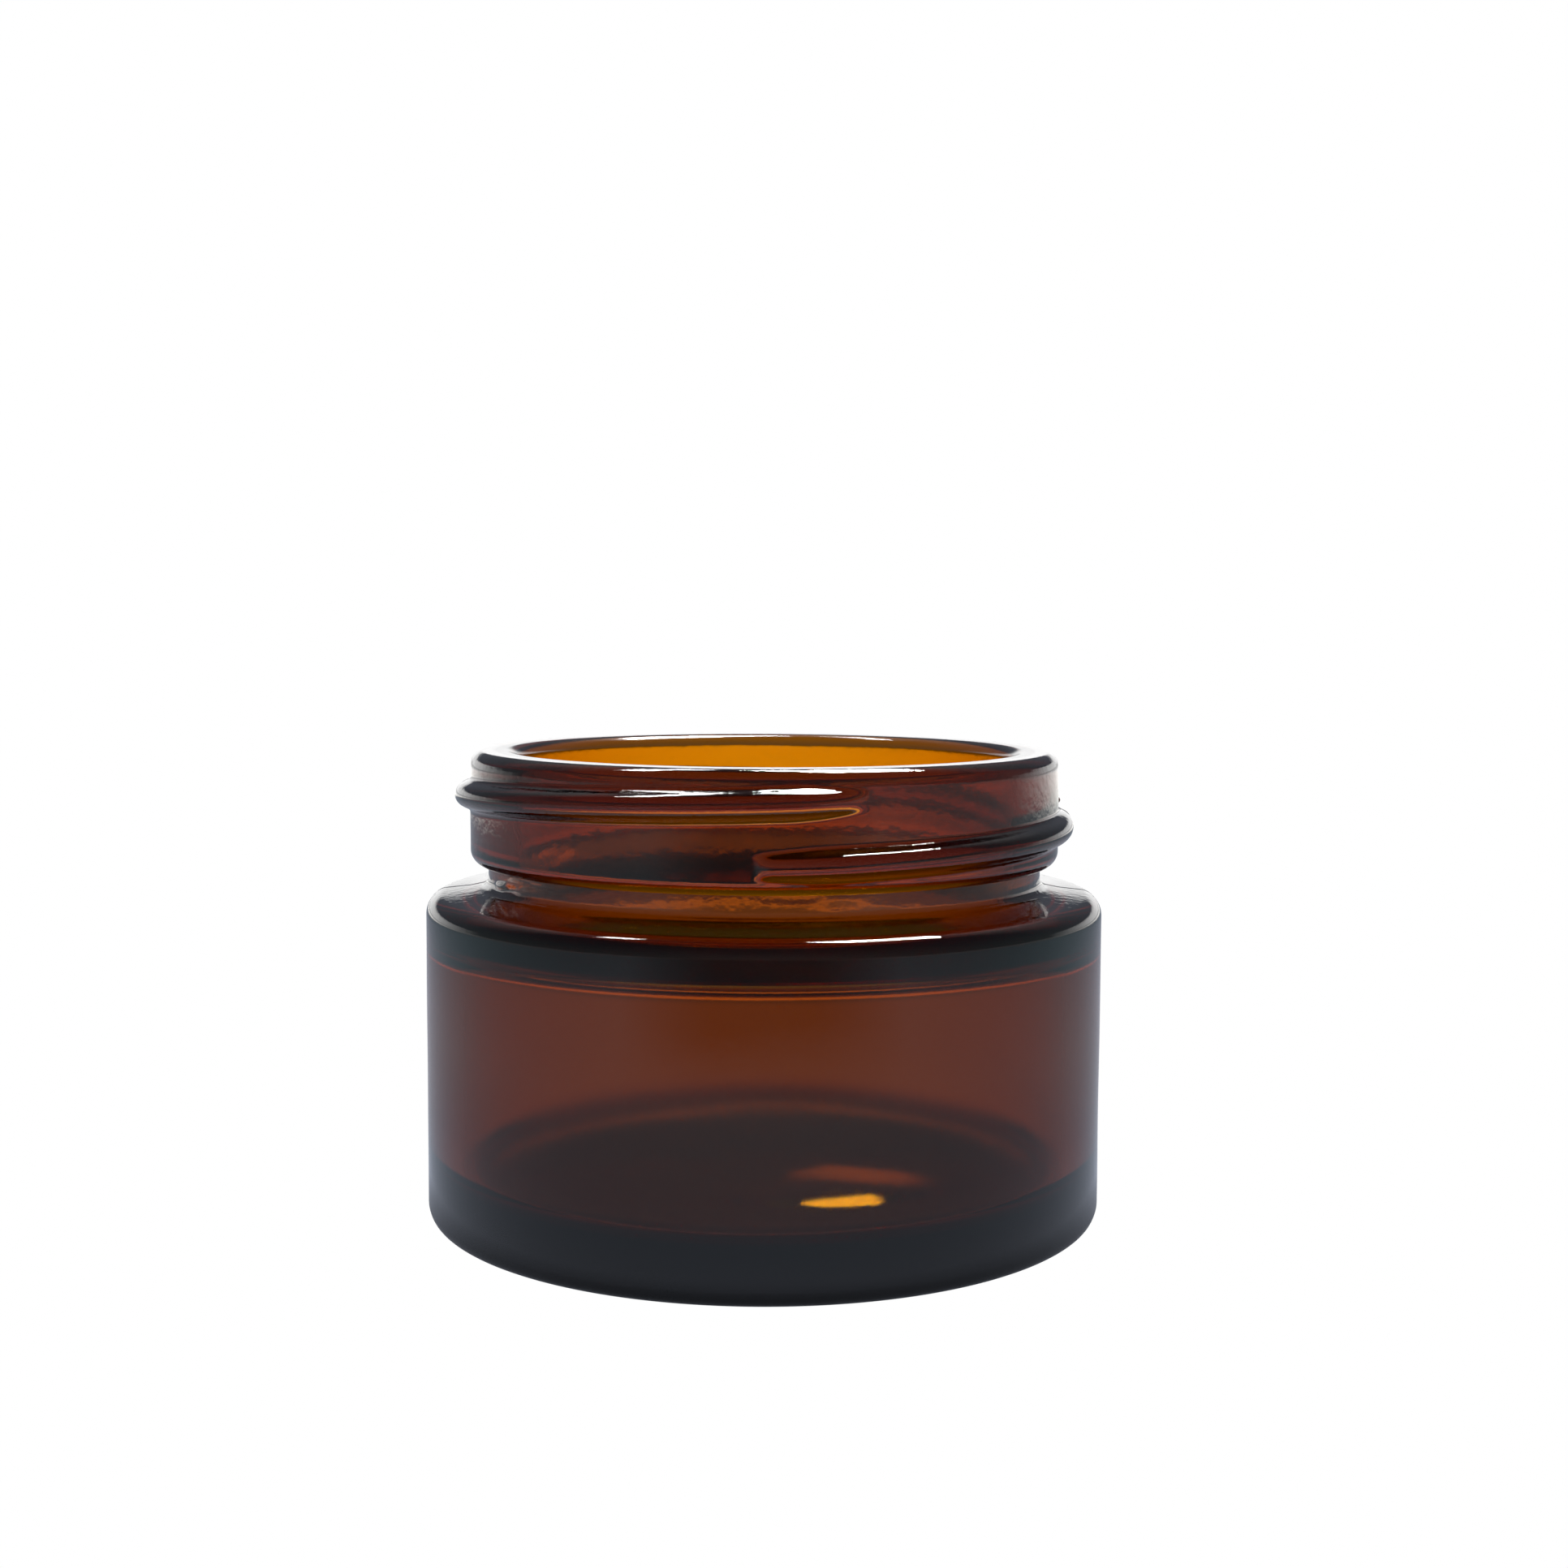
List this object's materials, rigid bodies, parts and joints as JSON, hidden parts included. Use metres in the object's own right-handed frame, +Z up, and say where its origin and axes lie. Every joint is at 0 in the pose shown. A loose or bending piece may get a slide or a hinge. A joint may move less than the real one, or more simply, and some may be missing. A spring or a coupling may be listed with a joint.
{
  "type": "cosmetic cream jar",
  "caption": "Straight-sided amber glass cream jar with a wide open mouth, a threaded neck and a rounded rim.",
  "frame": {"origin": "centre of the base, in the plane that the jar stands on", "axes": "+Z up along the jar's axis, out of the mouth; -Y is the front, where the thread's two ends are"},
  "size_m": [0.052, 0.052, 0.0358],
  "materials": {
    "amber_glass": "gloss"
  },
  "bodies": {
    "root": {"glass_jar": "amber_glass"}
  },
  "joints": []
}
